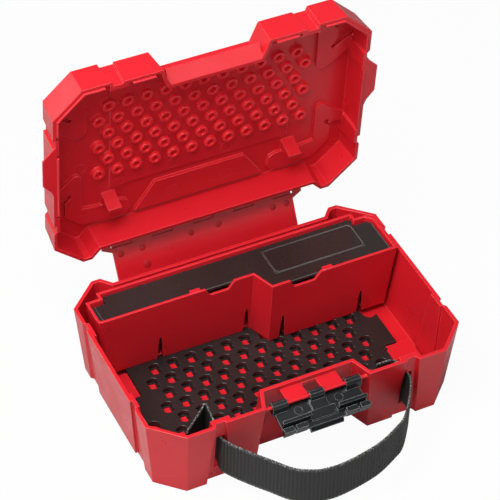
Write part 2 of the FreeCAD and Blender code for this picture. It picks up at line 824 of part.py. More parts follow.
def tray_outline(shrink, lean, front_lean):
    """Tray outline, drawn in by a wall and by the lean of the case walls."""
    left = -(tray_left - shrink - lean * 0.8)
    right = tray_right - shrink - lean
    back = tray_back - shrink - lean
    notch = tray_notch_y - shrink - lean
    notch_x = tray_notch_x - shrink - lean
    front_left = tray_front_left + shrink + front_lean
    front_right = tray_front_right + shrink + front_lean
    corner = tray_corner - shrink * 0.9
    return [
        (left + corner, front_left),
        (tray_step_left + shrink * 0.5, front_left),
        (tray_step_right + shrink * 0.5, front_right),
        (right, front_right),
        (right, notch - tray_chamfer),
        (right - tray_chamfer, notch),
        (notch_x, notch),
        (notch_x, back),
        (-notch_x, back),
        (-notch_x, notch),
        (left, notch),
        (left, front_left + corner),
        (left + corner * 0.3, front_left + corner * 0.3),
    ]


zero = as_size(0)
upper = new_sketch(tray, "tray_rim", "XY_Plane", tray_top)
add_loop(upper, tray_outline(zero, zero, zero))
lower = new_sketch(tray, "tray_foot_outline", "XY_Plane", tray_foot)
add_loop(lower, tray_outline(zero, tray_lean, tray_front_lean))
document.recompute()
loft = tray.newObject("PartDesign::AdditiveLoft", "tray_block")
loft.Profile = upper
loft.Sections = [lower]
loft.Ruled = True
document.recompute()
upper = new_sketch(tray, "tray_hollow_rim", "XY_Plane", tray_top)
add_loop(upper, tray_outline(tray_wall, zero, zero))
lower = new_sketch(tray, "tray_hollow_foot", "XY_Plane", tray_foot + tray_floor)
add_loop(lower, tray_outline(tray_wall, tray_lean, tray_front_lean))
document.recompute()
loft = tray.newObject("PartDesign::SubtractiveLoft", "tray_hollow")
loft.Profile = upper
loft.Sections = [lower]
loft.Ruled = True
document.recompute()

sketch = new_sketch(tray, "finger_notch_outline", "XZ_Plane", -(tray_front_right - 5))
add_loop(sketch, [
    (finger_left, tray_top + 1),
    (finger_left + 6.5, tray_top - finger_depth),
    (finger_right - 7.5, tray_top - finger_depth),
    (finger_right, tray_top + 1),
])
add_loop(sketch, [
    (finger2_left, tray_top + 1),
    (finger2_left + 5.5, tray_top - finger_depth),
    (finger2_right - 7.5, tray_top - finger_depth),
    (finger2_right, tray_top + 1),
])
pocket(tray, sketch, "finger_notches", tray_front_left - tray_front_right + tray_wall + 7)
sketch = new_sketch(tray, "drain_slit_outline", "XZ_Plane", -(tray_front_right - 5))
for x in (-87.6, 6.0, 34.5, 121.5):
    add_loop(sketch, [(x - 3.5, tray_foot - 1), (x + 3.5, tray_foot - 1),
                      (x + 1.2, 40), (x - 1.2, 40)])
pocket(tray, sketch, "drain_slits", tray_front_left - tray_front_right + tray_wall + 10)
snap_places = [(snap_left, tray_front_left), (snap_right, tray_front_right)]
sketch = new_sketch(tray, "snap_outline", "XY_Plane", tray_top - snap_low)
for snap, front in snap_places:
    add_loop(sketch, rectangle(snap, front + 0.6, snap + snap_width,
                               front + tray_wall + snap_reach))
pad(tray, sketch, "snap_tabs", snap_low + 0.8)
pin_y = tray_back - tray_wall - cover_gap - cover_lean - pin_back
pin_z = cover_top - cover_thick * 0.5
sketch = new_sketch(tray, "pin_hole_outline", "YZ_Plane", 0)
add_loop(sketch, even_sided(pin_y, pin_z, pin_hole, 8))
pocket(tray, sketch, "pin_holes", tray_notch_x * 2 + 2, middle=True)

# Tray cover: a dark lid set just inside the tray rim, with a framed plain panel.
cover = new_body("tray_cover")
sketch = new_sketch(cover, "cover_outline", "XY_Plane", cover_top - cover_thick)
add_loop(sketch, tray_outline(tray_wall + cover_gap, cover_lean, zero))
pad(cover, sketch, "cover_plate", cover_thick)
sketch = new_sketch(cover, "snap_notch_outline", "XY_Plane", cover_top + 1)
for snap, front in snap_places:
    notch_front = front + tray_wall - 1
    notch_back = front + tray_wall + snap_reach + cover_gap
    add_loop(sketch, rectangle(snap - cover_gap * 2, notch_front,
                               snap + snap_width + cover_gap * 2, notch_back))
pocket(cover, sketch, "snap_notches", cover_thick + 2)
ear_x = tray_notch_x - tray_wall - cover_gap - cover_lean
ear_front = tray_notch_y - tray_wall - cover_gap - cover_lean - cover_relief
sketch = new_sketch(cover, "ear_relief_outline", "XY_Plane", cover_top + 1)
add_loop(sketch, rectangle(ear_x, ear_front, tray_right, tray_notch_y))
add_loop(sketch, rectangle(-tray_right, ear_front, -ear_x, tray_notch_y))
pocket(cover, sketch, "ear_reliefs", cover_thick + 2)
sketch = new_sketch(cover, "cover_pin_side", "YZ_Plane", 0)
add_circle(sketch, pin_y, pin_z, pin_radius)
pad(cover, sketch, "cover_pins", (ear_x + pin_reach) * 2, middle=True)
sketch = new_sketch(cover, "cover_frame_outline", "XY_Plane", cover_top - 0.5)
add_loop(sketch, rectangle(frame_left, frame_front, frame_right, frame_back))
add_loop(sketch, rectangle(frame_left + frame_line, frame_front + frame_line,
                           frame_right - frame_line, frame_back - frame_line))
pad(cover, sketch, "cover_frame", frame_rise + 0.5)

# Peg plate: a thick perforated plate on the case floor, with a staggered lattice of
# flat-sided holes, cut-outs for the floor pads and three finger notches.
plate = new_body("peg_plate")
sketch = new_sketch(plate, "plate_outline", "XY_Plane", floor)
add_loop(sketch, [
    (-plate_half, plate_front),
    (right_pad_in - plate_gap, plate_front),
    (right_pad_in - plate_gap, right_pad_back + plate_gap),
    (plate_half, right_pad_back + plate_gap),
    (plate_half, plate_cut_front),
    (plate_cut_in, plate_cut_back),
    (plate_cut_in, plate_back),
    (-(pad_right - plate_gap), plate_back),
    (-(pad_right - plate_gap), pad_front - plate_gap),
    (-plate_half, pad_front - plate_gap),
])
pad(plate, sketch, "plate_block", plate_top - floor)
sketch = new_sketch(plate, "plate_notch_outline", "XY_Plane", plate_top + 1)
add_circle(sketch, -(plate_half - 5), thumb_left_y, thumb_radius)
add_circle(sketch, plate_half - 6, thumb_right_y, thumb_radius)
pocket(plate, sketch, "plate_notches", 12)


def add_hole(name, x, y):
    """A near-round hole with two flat sides, cut through the plate."""
    sketch = new_sketch(plate, name + "_outline", "XY_Plane", plate_top + 1)
    add_loop(sketch, [
        (x + hole_flat, y - hole_shoulder),
        (x + hole_flat, y + hole_shoulder),
        (x + hole_crown, y + hole_radius),
        (x - hole_crown, y + hole_radius),
        (x - hole_flat, y + hole_shoulder),
        (x - hole_flat, y - hole_shoulder),
        (x - hole_crown, y - hole_radius),
        (x + hole_crown, y - hole_radius),
    ])
    return pocket(plate, sketch, name, 12)


hole = add_hole("hole_even", -(peg_pitch * 5), peg_first_y)
repeat(plate, [hole], "hole_even_rows",
       [("X_Axis", peg_pitch, 11), ("Y_Axis", peg_row * 2, 4)])
hole = add_hole("hole_odd", -(peg_pitch * 5.5), peg_first_y + peg_row)
repeat(plate, [hole], "hole_odd_rows",
       [("X_Axis", peg_pitch, 12), ("Y_Axis", peg_row * 2, 3)])

# Carry strap: one length of webbing that bows out in front, runs in through both
# slots and is folded back on itself inside the left one.
strap = new_body("carry_strap")
document.recompute()
sketch = new_sketch(strap, "strap_plan", "XY_Plane", web_bottom)
add_loop(sketch, ribbon(strap_line, web_thick))
pad(strap, sketch, "strap_band", web_height)


def turned(angle, y, z):
    """A turn about a lengthwise axis through the given point."""
    rotation = FreeCAD.Rotation(FreeCAD.Vector(1, 0, 0), angle)
    return FreeCAD.Placement(FreeCAD.Vector(0, 0, 0), rotation, FreeCAD.Vector(0, y, z))


panel_turn = turned(-panel_open, hinge_y.value, lower_axis_z.value)
lid_turn = turned(-lid_open, hinge_y.value, upper_axis_z.value)
panel.Placement = panel_turn
lid.Placement = panel_turn.multiply(lid_turn)
latch.Placement = turned(latch_open, -latch_y.value, latch_z.value)
document.recompute()

for item in document.Objects:
    if "Invalid" in item.State or "Error" in item.State:
        raise ValueError(item.Name + " did not build: " + str(item.State))

os.makedirs("parts", exist_ok=True)
for body in (base, lid, panel, latch, tray, cover, plate, strap):
    shape = body.Shape
    if shape.isNull() or not shape.isValid():
        raise ValueError(body.Label + " has no valid shape")
    if len(shape.Solids) != 1:
        raise ValueError(body.Label + " has %d solids" % len(shape.Solids))
    shape.exportStep("parts/" + body.Label + ".step")
    print(body.Label, round(shape.Volume), len(shape.Faces), shape.BoundBox)
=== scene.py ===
import json
import math

import bpy
from mathutils import Matrix, Vector


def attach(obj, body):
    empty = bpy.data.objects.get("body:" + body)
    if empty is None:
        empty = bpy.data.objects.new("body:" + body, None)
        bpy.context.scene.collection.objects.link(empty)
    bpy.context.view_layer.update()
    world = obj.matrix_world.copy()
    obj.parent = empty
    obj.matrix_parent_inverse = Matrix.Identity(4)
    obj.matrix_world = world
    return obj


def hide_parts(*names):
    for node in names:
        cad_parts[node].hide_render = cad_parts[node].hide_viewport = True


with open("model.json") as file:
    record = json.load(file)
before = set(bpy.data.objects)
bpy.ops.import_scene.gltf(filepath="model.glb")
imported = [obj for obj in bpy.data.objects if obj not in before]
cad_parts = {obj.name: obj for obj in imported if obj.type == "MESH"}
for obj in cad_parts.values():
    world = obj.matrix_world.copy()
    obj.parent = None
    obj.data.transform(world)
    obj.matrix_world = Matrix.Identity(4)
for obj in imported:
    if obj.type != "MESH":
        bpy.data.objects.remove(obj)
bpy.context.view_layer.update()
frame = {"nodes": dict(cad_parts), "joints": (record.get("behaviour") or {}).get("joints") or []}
nodes = frame["nodes"]
scene = bpy.context.scene
MM = 0.001
RIB_PITCH = 3.8
# A wave texture of scale 1 repeats every pi / 10 units of length.
RIB_SCALE = math.pi / 10.0 / (RIB_PITCH * MM)


# Shader helpers

def new_material(name):
    material = bpy.data.materials.new(name)
    material.use_nodes = True
    tree = material.node_tree
    return material, tree, tree.nodes["Principled BSDF"]


def add_node(tree, kind, **values):
    node = tree.nodes.new(kind)
    for key, value in values.items():
        setattr(node, key, value)
    return node


def object_coordinates(tree):
    return add_node(tree, "ShaderNodeTexCoord").outputs["Object"]


def noise(tree, vector, scale, detail=3.0, roughness=0.5):
    node = add_node(tree, "ShaderNodeTexNoise")
    node.inputs["Scale"].default_value = scale
    node.inputs["Detail"].default_value = detail
    node.inputs["Roughness"].default_value = roughness
    tree.links.new(vector, node.inputs["Vector"])
    return node.outputs["Fac"]


def ramp(tree, value, low, high, low_out, high_out):
    node = add_node(tree, "ShaderNodeMapRange")
    node.inputs["From Min"].default_value = low
    node.inputs["From Max"].default_value = high
    node.inputs["To Min"].default_value = low_out
    node.inputs["To Max"].default_value = high_out
    tree.links.new(value, node.inputs["Value"])
    return node.outputs["Result"]


def mixed_colour(tree, factor, first, second):
    node = add_node(tree, "ShaderNodeMix", data_type="RGBA")
    node.inputs["A"].default_value = first
    node.inputs["B"].default_value = second
    tree.links.new(factor, node.inputs["Factor"])
    return node.outputs["Result"]


def moulded_plastic(name, colour, deep, edge_highlight_colour, roughness, gloss_spread, grain,
                    edge_radius, edge_highlight_share=0.6):
    """Moulded plastic: slow tint drift, patchy gloss, fine grain, and a painted highlight, a
    lighter colour on edges where the bevel-rounded normal turns.
    """
    material, tree, shader = new_material(name)
    place = object_coordinates(tree)
    drift = noise(tree, place, 9.0, 2.0)
    tint = mixed_colour(tree, ramp(tree, drift, 0.35, 0.65, 0.0, 1.0), colour, deep)
    rounded = add_node(tree, "ShaderNodeBevel", samples=8)
    rounded.inputs["Radius"].default_value = edge_radius
    flat = add_node(tree, "ShaderNodeNewGeometry").outputs["Normal"]
    turn = add_node(tree, "ShaderNodeVectorMath", operation="DOT_PRODUCT")
    tree.links.new(rounded.outputs["Normal"], turn.inputs[0])
    tree.links.new(flat, turn.inputs[1])
    # Painted highlight: where the rounded normal turns away from the flat one, the colour is
    # mixed towards the lighter edge colour.
    edge = ramp(tree, turn.outputs["Value"], 0.999, 0.88, 0.0, edge_highlight_share)
    painted_edge_highlight = add_node(tree, "ShaderNodeMix", data_type="RGBA")
    tree.links.new(edge, painted_edge_highlight.inputs["Factor"])
    tree.links.new(tint, painted_edge_highlight.inputs["A"])
    painted_edge_highlight.inputs["B"].default_value = edge_highlight_colour
    tree.links.new(painted_edge_highlight.outputs["Result"], shader.inputs["Base Color"])
    patch = noise(tree, place, 35.0, 4.0, 0.6)
    gloss = ramp(tree, patch, 0.3, 0.7, roughness - gloss_spread, roughness + gloss_spread)
    tree.links.new(gloss, shader.inputs["Roughness"])
    bump = add_node(tree, "ShaderNodeBump")
    bump.inputs["Strength"].default_value = grain
    bump.inputs["Distance"].default_value = 0.0002
    tree.links.new(noise(tree, place, 900.0, 2.0), bump.inputs["Height"])
    tree.links.new(rounded.outputs["Normal"], bump.inputs["Normal"])
    tree.links.new(bump.outputs["Normal"], shader.inputs["Normal"])
    shader.inputs["Specular IOR Level"].default_value = 0.42
    return material


# The red's lighter edge colour paints a pink highlight along the rims.
red = moulded_plastic(
    "red_plastic", colour=(0.61, 0.0115, 0.0205, 1), deep=(0.56, 0.0100, 0.0180, 1),
    edge_highlight_colour=(0.90, 0.070, 0.085, 1), roughness=0.33, gloss_spread=0.06, grain=0.05,
    edge_radius=0.0012)
# Painted highlight: the socket rings are a lighter copy of the lid's red, standing in for the
# light caught on their rounded lips.
painted_lit_red_rings = moulded_plastic(
    "painted_lit_red_rings", colour=(0.80, 0.0170, 0.0270, 1), deep=(0.75, 0.015, 0.024, 1),
    edge_highlight_colour=(0.84, 0.025, 0.036, 1), roughness=0.40, gloss_spread=0.05, grain=0.04,
    edge_radius=0.0004, edge_highlight_share=0.3)
red_marks = moulded_plastic(
    "red_marks", colour=(0.44, 0.0070, 0.0120, 1), deep=(0.38, 0.006, 0.0105, 1),
    edge_highlight_colour=(0.50, 0.010, 0.016, 1), roughness=0.50, gloss_spread=0.05, grain=0.05,
    edge_radius=0.0004)
# The dark plastic's lighter edge colour paints a highlight along its edges.
dark = moulded_plastic(
    "dark_plastic", colour=(0.024, 0.0190, 0.0182, 1), deep=(0.016, 0.0125, 0.0120, 1),
    edge_highlight_colour=(0.11, 0.10, 0.095, 1), roughness=0.25, gloss_spread=0.09, grain=0.10,
    edge_radius=0.0007, edge_highlight_share=0.8)
# Painted shade: the foot layer of the peg plate, seen down the holes, is a near-black copy of
# the plate's dark plastic.
painted_shade_foot = moulded_plastic(
    "painted_shade_foot", colour=(0.006, 0.0045, 0.0045, 1), deep=(0.004, 0.003, 0.003, 1),
    edge_highlight_colour=(0.006, 0.0045, 0.0045, 1), roughness=0.60, gloss_spread=0.05, grain=0.05,
    edge_radius=0.0002)
# Glossy bead plastic, lighter grey than the cover: the gloss is real, the lighter colour paints
# the bright highlight lines along the beads.
glossy_painted_highlight = moulded_plastic(
    "glossy_painted_highlight_bead", colour=(0.10, 0.095, 0.092, 1), deep=(0.06, 0.056, 0.054, 1),
    edge_highlight_colour=(0.30, 0.29, 0.28, 1), roughness=0.14, gloss_spread=0.03, grain=0.02,
    edge_radius=0.0003)
# The latch's pale edge colour paints bright highlight lines along its edges.
grey = moulded_plastic(
    "latch_plastic", colour=(0.021, 0.022, 0.0235, 1), deep=(0.012, 0.013, 0.014, 1),
    edge_highlight_colour=(0.30, 0.30, 0.31, 1), roughness=0.20, gloss_spread=0.06, grain=0.12,
    edge_radius=0.0006, edge_highlight_share=0.9)


def webbing_material():
    """Woven strap: ribs across the width, slanted picks, a speckled selvedge."""
    material, tree, shader = new_material("webbing")
    uv = add_node(tree, "ShaderNodeUVMap").outputs["UV"]
    split = add_node(tree, "ShaderNodeSeparateXYZ")
    tree.links.new(uv, split.inputs["Vector"])
    ribs = add_node(tree, "ShaderNodeTexWave", wave_type="BANDS", bands_direction="X")
    ribs.inputs["Scale"].default_value = RIB_SCALE
    ribs.inputs["Distortion"].default_value = 0.9
    ribs.inputs["Detail"].default_value = 2.0
    ribs.inputs["Detail Scale"].default_value = 3.0
    picks = add_node(tree, "ShaderNodeTexWave", wave_type="BANDS", bands_direction="DIAGONAL")
    picks.inputs["Scale"].default_value = 260.0
    picks.inputs["Distortion"].default_value = 2.5
    picks.inputs["Detail"].default_value = 2.0
    for wave in (ribs, picks):
        tree.links.new(uv, wave.inputs["Vector"])
    specks = ramp(tree, noise(tree, object_coordinates(tree), 750.0, 3.0, 0.7),
                  0.48, 0.62, 0.0, 1.0)
    low_edge = ramp(tree, split.outputs["Y"], 0.0, 0.0035, 1.0, 0.0)
    high_edge = ramp(tree, split.outputs["Y"], 0.0415, 0.045, 0.0, 1.0)
    edge = add_node(tree, "ShaderNodeMath", operation="MAXIMUM")
    tree.links.new(low_edge, edge.inputs[0])
    tree.links.new(high_edge, edge.inputs[1])
    selvedge = add_node(tree, "ShaderNodeMath", operation="MULTIPLY")
    tree.links.new(edge.outputs["Value"], selvedge.inputs[0])
    tree.links.new(specks, selvedge.inputs[1])
    blend = add_node(tree, "ShaderNodeMath", operation="MULTIPLY_ADD")
    blend.inputs[1].default_value = 0.45
    tree.links.new(picks.outputs["Fac"], blend.inputs[0])
    tree.links.new(ribs.outputs["Fac"], blend.inputs[2])
    cloth = mixed_colour(tree, ramp(tree, blend.outputs["Value"], 0.1, 1.35, 0.0, 1.0),
                         (0.0030, 0.0030, 0.0030, 1), (0.023, 0.024, 0.024, 1))
    colour = add_node(tree, "ShaderNodeMix", data_type="RGBA")
    tree.links.new(selvedge.outputs["Value"], colour.inputs["Factor"])
    tree.links.new(cloth, colour.inputs["A"])
    colour.inputs["B"].default_value = (0.42, 0.42, 0.41, 1)
    tree.links.new(colour.outputs["Result"], shader.inputs["Base Color"])
    shader.inputs["Roughness"].default_value = 0.62
    height = add_node(tree, "ShaderNodeMath", operation="ADD")
    tree.links.new(blend.outputs["Value"], height.inputs[0])
    tree.links.new(selvedge.outputs["Value"], height.inputs[1])
    bump = add_node(tree, "ShaderNodeBump")
    bump.inputs["Strength"].default_value = 0.8
    bump.inputs["Distance"].default_value = 0.0005
    tree.links.new(height.outputs["Value"], bump.inputs["Height"])
    tree.links.new(bump.outputs["Normal"], shader.inputs["Normal"])
    return material


webbing = webbing_material()


def paint(node_name, material):
    data = nodes[node_name].data
    data.materials.clear()
    data.materials.append(material)


for node_name in ("base_shell", "lid_shell", "hinge_panel", "accessory_tray"):
    paint(node_name, red)
for node_name in ("tray_cover", "peg_plate"):
    paint(node_name, dark)
paint("latch", grey)
paint("carry_strap", webbing)


# Where the hinged pieces stand in the open rest pose, from the joints of the frame

joints = {joint["name"]: joint for joint in frame["joints"]}


def pin_of(name):
    return [value / MM for value in joints[name]["pos_m"]]


def turned(degrees, pin):
    """A turn about the lengthwise axis through a pin, in millimetres."""
    there = Matrix.Translation(Vector(pin))
    back = Matrix.Translation(-Vector(pin))
    return there @ Matrix.Rotation(math.radians(degrees), 4, "X") @ back


def open_range(name):
    return joints[name]["range_deg"][1]


panel_rest = turned(-open_range("panel_fold"), pin_of("panel_fold"))
upper_pin = panel_rest.inverted() @ Vector(pin_of("lid_fold"))
lid_rest = panel_rest @ turned(-open_range("lid_fold"), upper_pin)
latch_rest = turned(open_range("latch_swing"), pin_of("latch_swing"))
no_turn = Matrix.Identity(4)


# Mesh helpers, in millimetres

SHARP_ANGLE = 38


def mesh_object(name, vertices, faces, place, material, body):
    mesh = bpy.data.meshes.new(name)
    mesh.from_pydata([(place @ Vector(v)) * MM for v in vertices], [], faces)
    mesh.validate()
    for face in mesh.polygons:
        face.use_smooth = True
    mesh.set_sharp_from_angle(angle=math.radians(SHARP_ANGLE))
    piece = bpy.data.objects.new(name, mesh)
    scene.collection.objects.link(piece)
    mesh.materials.append(material)
    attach(piece, body)


def turned_profile(profile, centre, facing, sides=28):
    """A ring revolved from (radius, height) points, with height along the facing axis."""
    along = Vector(facing)
    across = along.orthogonal().normalized()
    beside = along.cross(across)
    vertices = []
    faces = []
    for step in range(sides):
        angle = 2 * math.pi * step / sides
        outward = across * math.cos(angle) + beside * math.sin(angle)
        for radius, height in profile:
            vertices.append(Vector(centre) + outward * radius + along * height)
    count = len(profile)
    for step in range(sides):
        after = (step + 1) % sides
        for row in range(count - 1):
            faces.append((step * count + row, after * count + row,
                          after * count + row + 1, step * count + row + 1))
    return vertices, faces


def ring_group(name, profile, centres, facing, place, material, body):
    """Many equal rings joined into one mesh."""
    vertices = []
    faces = []
    for centre in centres:
        more, loops = turned_profile(profile, centre, facing)
        faces += [tuple(index + len(vertices) for index in loop) for loop in loops]
        vertices += more
    mesh_object(name, vertices, faces, place, material, body)


def bead(name, points, radius, place, material, body, closed=False):
    """A thin rounded bead along a line of points."""
    curve = bpy.data.curves.new(name, "CURVE")
    curve.dimensions = "3D"
    curve.bevel_depth = radius * MM
    curve.bevel_resolution = 2
    spline = curve.splines.new("POLY")
    spline.points.add(len(points) - 1)
    for point, spot in zip(spline.points, points):
        point.co = (*((place @ Vector(spot)) * MM), 1)
    spline.use_cyclic_u = closed
    curve.materials.append(material)
    piece = bpy.data.objects.new(name, curve)
    scene.collection.objects.link(piece)
    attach(piece, body)


# Peg lattice: two sets of rows, half a pitch apart

PEG_PITCH = 19.72
PEG_ROW = 17.38
PEG_FIRST_Y = -62.35
EVEN_COLUMNS = 11
ODD_COLUMNS = 12


def lattice(even_rows, odd_rows):
    places = []
    for row in range(even_rows):
        for column in range(EVEN_COLUMNS):
            places.append(((column - (EVEN_COLUMNS - 1) / 2) * PEG_PITCH,
                           PEG_FIRST_Y + row * 2 * PEG_ROW))
    for row in range(odd_rows):
        for column in range(ODD_COLUMNS):
            places.append(((column - (ODD_COLUMNS - 1) / 2) * PEG_PITCH,
                           PEG_FIRST_Y + PEG_ROW + row * 2 * PEG_ROW))
    return places


# Rounded peg sockets over the plain ones inside the lid

LID_INNER = 110.9
RAISED_PANEL = LID_INNER - 1.5
PLATFORM_FACE = LID_INNER - 3.5
SOCKET_HEIGHT = 5.05
socket_profile = [(7.3, 0.0), (6.75, 0.35), (6.5, 1.0), (6.4, 4.2), (6.2, 4.75),
                  (5.75, SOCKET_HEIGHT), (3.7, SOCKET_HEIGHT), (3.3, 4.9), (3.1, 4.4),
                  (3.0, 0.4), (0.01, 0.4)]
# The sockets take the lighter red, a painted highlight on their lips.
ring_group("lid_peg_sockets", socket_profile,
           [(x, y, LID_INNER) for x, y in lattice(3, 3)], (0, 0, -1),
           lid_rest, painted_lit_red_rings, "lid")


# Ejector marks: faint rings inside the lid and duller discs on the hinge panel

thin_ring = [(6.3, 0.0), (6.2, 0.13), (5.9, 0.16), (5.7, 0.0)]
lid_marks = [(126, 14, LID_INNER), (-126, 14, LID_INNER), (-30, 75.5, PLATFORM_FACE),
             (29.5, 75.5, PLATFORM_FACE), (29, 41, RAISED_PANEL), (-87.5, 45, RAISED_PANEL),
             (-30, 41, RAISED_PANEL)]
ring_group("lid_ejector_marks", thin_ring, lid_marks, (0, 0, -1), lid_rest, red, "lid")
PANEL_FRONT = 102.4
disc = [(3.4, 0.0), (3.3, 0.06), (0.01, 0.07)]
panel_marks = [(x, PANEL_FRONT, 84.8) for x in (-91.6, -68.5, -15.3, 15.3, 76.2, 91.6)]
ring_group("panel_ejector_marks", disc, panel_marks, (0, -1, 0), panel_rest, red_marks,
           "panel")
big_disc = [(4.5, 0.0), (4.4, 0.06), (0.01, 0.07)]
ring_group("panel_gate_marks", big_disc, [(-67.1, PANEL_FRONT, 66.8)], (0, -1, 0),
           panel_rest, red_marks, "panel")


# Peg plate: thick moulded plate with flat-sided holes, thumb notches, rounded edges

def arc_points(centre, radius, start, end, steps):
    points = []
    for step in range(steps + 1):
        angle = math.radians(start + (end - start) * step / steps)
        points.append((centre[0] + radius * math.cos(angle),
                       centre[1] + radius * math.sin(angle)))
    return points


def hole_points(x, y):
    """A round hole whose sides come in to a narrower square middle."""
    narrow = 4.7
    middle = 3.3
    radius = 7.2
    upper = arc_points((x, y), radius, 33, 147, 12)
    lower = arc_points((x, y), radius, 213, 327, 12)
    return ([(x + narrow, y - middle), (x + narrow, y + middle)] + upper
            + [(x - narrow, y + middle), (x - narrow, y - middle)] + lower)


PLATE_TOP = 10.0
PLATE_STEP = 4.6
PLATE_FLOOR = 3.0


def plate_outline():
    return (arc_points((-133, -72), 3, 180, 270, 4) + [(121, -75), (121, -29.5)]
            + arc_points((124.4, -26), 2.6, 250, 90, 8) + [(132, -23.5)]
            + arc_points((134.5, -22), 1.5, 270, 360, 4) + [(136, 8)]
            + arc_points((130, 24.5), 7, -31, -180, 12)
            + [(122, 30), (122, 57), (-125, 57), (-125, 14.5)]
            + arc_points((-133, 11.5), 3, 90, 180, 4)
            + arc_points((-131, -28), 7, 130, -130, 12))


def flat_layer(name, loops, low, high, edge, material):
    """A plate between two heights, with holes and rounded edges."""
    curve = bpy.data.curves.new(name, "CURVE")
    curve.dimensions = "2D"
    curve.fill_mode = "BOTH"
    curve.bevel_depth = edge * MM
    curve.bevel_resolution = 2
    curve.offset = -edge * MM
    curve.extrude = ((high - low) / 2 - edge) * MM
    for points in loops:
        spline = curve.splines.new("POLY")
        spline.points.add(len(points) - 1)
        for point, (x, y) in zip(spline.points, points):
            point.co = (x * MM, y * MM, 0, 1)
        spline.use_cyclic_u = True
    holder = bpy.data.objects.new(name + "_draft", curve)
    scene.collection.objects.link(holder)
    bpy.context.view_layer.update()
    evaluated = holder.evaluated_get(bpy.context.evaluated_depsgraph_get())
    mesh = bpy.data.meshes.new_from_object(evaluated)
    bpy.data.objects.remove(holder)
    mesh.transform(Matrix.Translation((0, 0, (high + low) / 2 * MM)))
    mesh.name = name
    mesh.materials.clear()
    mesh.materials.append(material)
    piece = bpy.data.objects.new(name, mesh)
    scene.collection.objects.link(piece)
    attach(piece, "base")
    return piece


def step_points(x, y):
    """The narrower foot of a hole."""
    half_x = 3.7
    half_y = 5.3
    return [(x - half_x, y - half_y), (x + half_x, y - half_y),
            (x + half_x, y + half_y), (x - half_x, y + half_y)]


holes = lattice(4, 3)
plate_piece = flat_layer("peg_plate_moulding",
                         [plate_outline()] + [hole_points(x, y) for x, y in holes],
                         PLATE_STEP, PLATE_TOP, 0.6, dark)
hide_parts("peg_plate")
# The foot layer takes the near-black copy, painted shade down the holes.
flat_layer("peg_plate_foot", [plate_outline()] + [step_points(x, y) for x, y in holes],
           PLATE_FLOOR, PLATE_STEP, 0.2, painted_shade_foot)


# Tray cover: glossy bead along the front edge and round the plain framed panel, coloured lighter
# than the cover to paint their highlight lines

COVER_TOP = 84.4
EDGE_BEAD_RADIUS = 0.42
FRAME_BEAD_RADIUS = 0.5
FRAME_BEAD_RISE = 0.45
front_line = [(-146.5, 75.0), (-146.5, 56.8), (-145.2, 54.0), (-142.6, 52.9), (8.0, 52.9),
              (12.5, 52.0), (21.5, 31.0), (25.0, 29.4), (150.0, 29.4), (152.6, 31.4),
              (152.6, 69.0)]
bead("cover_edge_bead", [(x, y, COVER_TOP) for x, y in front_line], EDGE_BEAD_RADIUS,
     no_turn, glossy_painted_highlight, "cover")


def framed_panel():
    left, right, front, back, cut = 34.2, 131.6, 45.6, 78.2, 3.0
    corners = [(left + cut, front), (right - cut, front), (right, front + cut),
               (right, back - cut), (right - cut, back), (left + cut, back),
               (left, back - cut), (left, front + cut)]
    bead("cover_frame_bead", [(x, y, COVER_TOP + FRAME_BEAD_RISE) for x, y in corners],
         FRAME_BEAD_RADIUS, no_turn, glossy_painted_highlight, "cover", closed=True)


framed_panel()


# Latch: two faint mould rings on its flat plate

small_ring = [(4.3, 0.0), (4.2, 0.11), (3.8, 0.12), (3.6, 0.0)]
RING_OFFSET_X = 21.2
RING_FACE_Y = pin_of("latch_swing")[1] - 5.2
RING_HEIGHT_Z = pin_of("latch_swing")[2] + 8.9
ring_group("latch_mould_rings", small_ring,
           [(side * RING_OFFSET_X, RING_FACE_Y, RING_HEIGHT_Z) for side in (-1, 1)],
           (0, 1, 0), latch_rest, grey, "latch")


# Webbing handle: a smooth ribbed band through the same places as the plain strap

def smooth_line(points, steps):
    """A rounded line through the given points."""
    line = []
    padded = [points[0] * 2 - points[1]] + points + [points[-1] * 2 - points[-2]]
    for index in range(1, len(padded) - 2):
        before, start, end, after = padded[index - 1:index + 3]
        for step in range(steps):
            t = step / steps
            line.append(0.5 * ((2 * start) + (end - before) * t
                               + (2 * before - 5 * start + 4 * end - after) * t * t
                               + (3 * start - before - 3 * end + after) * t ** 3))
    line.append(points[-1])
    return line


WEB_BOTTOM = 16
WEB_THICKNESS = 1.9
WEB_HEIGHT = 45.0
RIB_DEPTH = 0.13
CUP_DEPTH = 0.25
CUP_RUN = 47.0
BRAID_PITCH = 3.1
BRAID_DEPTH = 0.22
BRAID_FROM = 42
TOP_EDGE_FROM = 44
TOP_EDGE_DROP = 0.3
STEPS_PER_POINT = 20

# Rows up the band: height in millimetres and share of the full thickness
web_rows = [(0.0, 0.0), (0.25, 0.75), (0.8, 1.0), (1.6, 1.1), (2.6, 1.0), (6, 1.0), (13, 1.0),
            (22, 1.0), (31, 1.0), (38, 1.0), (42.4, 1.0), (43.4, 1.1), (44.2, 1.0),
            (44.75, 0.75), (WEB_HEIGHT, 0.0)]


